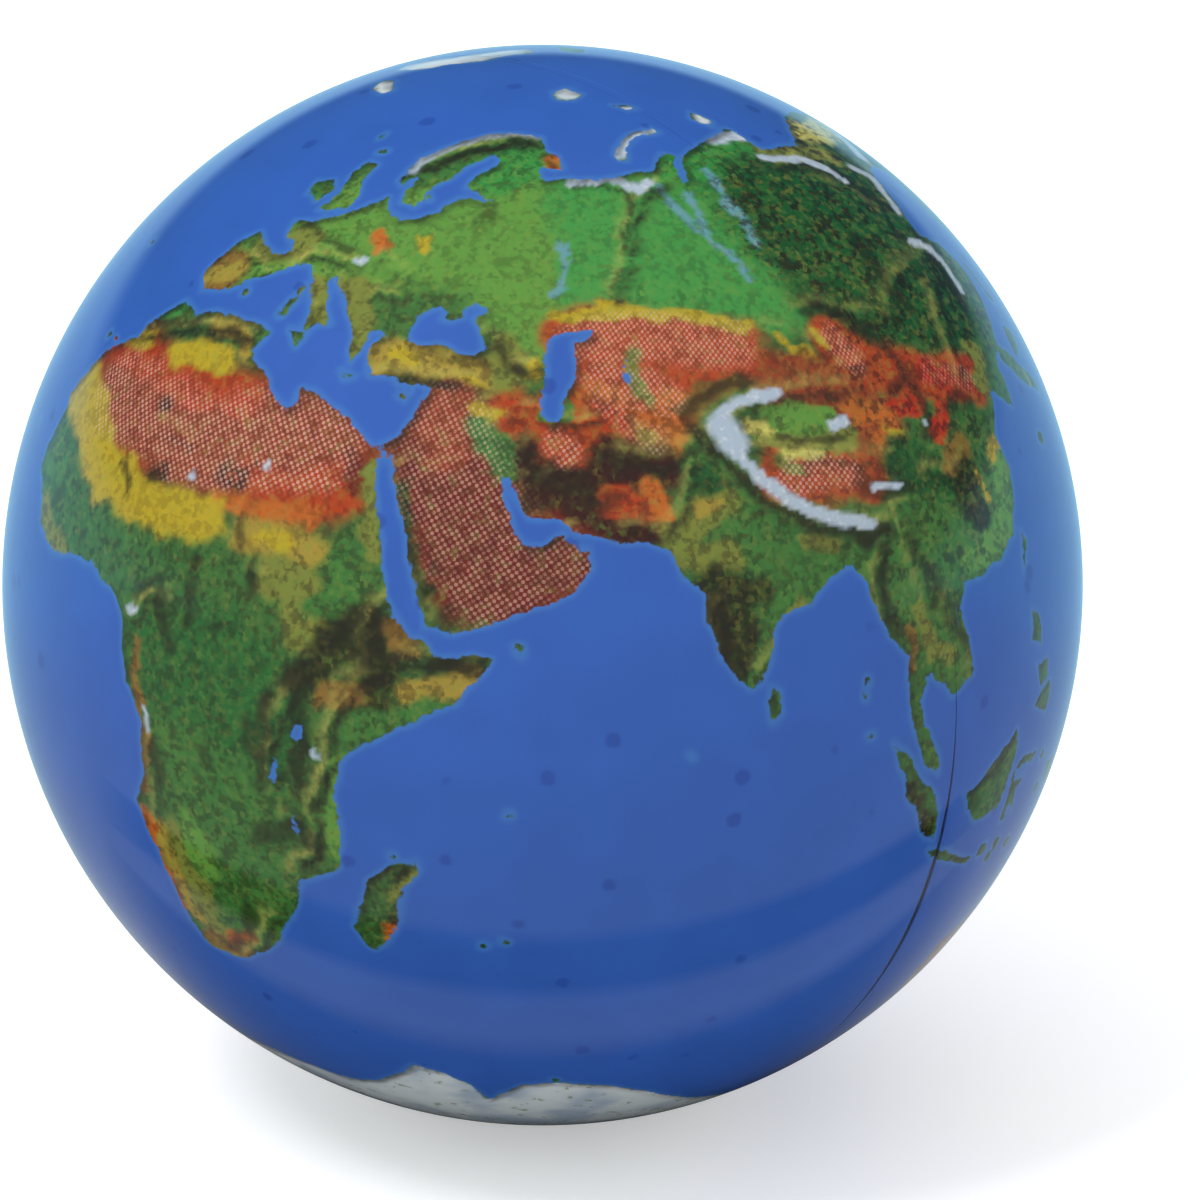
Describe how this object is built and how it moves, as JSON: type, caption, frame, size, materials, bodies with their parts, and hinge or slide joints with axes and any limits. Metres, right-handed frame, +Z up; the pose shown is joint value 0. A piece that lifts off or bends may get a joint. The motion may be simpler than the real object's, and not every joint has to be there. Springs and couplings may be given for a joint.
{
  "type": "stress ball",
  "caption": "Round foam stress ball in a glossy clear skin over a printed relief world map, with a joint around it, squeezed between opposite sides.",
  "frame": {"origin": "centre of the ball", "axes": "+X along the squeeze axis, through the middles of the two half skins, whose joint lies in the plane X = 0; +Z up, towards the north of the printed map"},
  "size_m": [0.0636, 0.0634, 0.0634],
  "materials": {
    "clear_vinyl": "gloss",
    "map_print": "gloss",
    "band_adhesive": "satin",
    "white_foam": "matte"
  },
  "bodies": {
    "core": {"foam_core": "white_foam", "seam_band": "band_adhesive"},
    "east": {"map_film_east": "map_print", "clear_skin_east": "clear_vinyl"},
    "west": {"map_film_west": "map_print", "clear_skin_west": "clear_vinyl"}
  },
  "joints": [
    {"name": "east_squeeze", "type": "slide", "parent": "core", "child": "east", "axis": [-1, 0, 0], "range_m": [0, 0.012], "stiffness_N_per_m": 2500, "deforming": ["clear_skin_east", "map_film_east", "foam_core"]},
    {"name": "west_squeeze", "type": "slide", "parent": "core", "child": "west", "axis": [1, 0, 0], "range_m": [0, 0.012], "stiffness_N_per_m": 2500, "deforming": ["clear_skin_west", "map_film_west"]}
  ],
  "couplings": [
    {"joint": "west_squeeze", "follows": "east_squeeze", "ratio": 1}
  ]
}
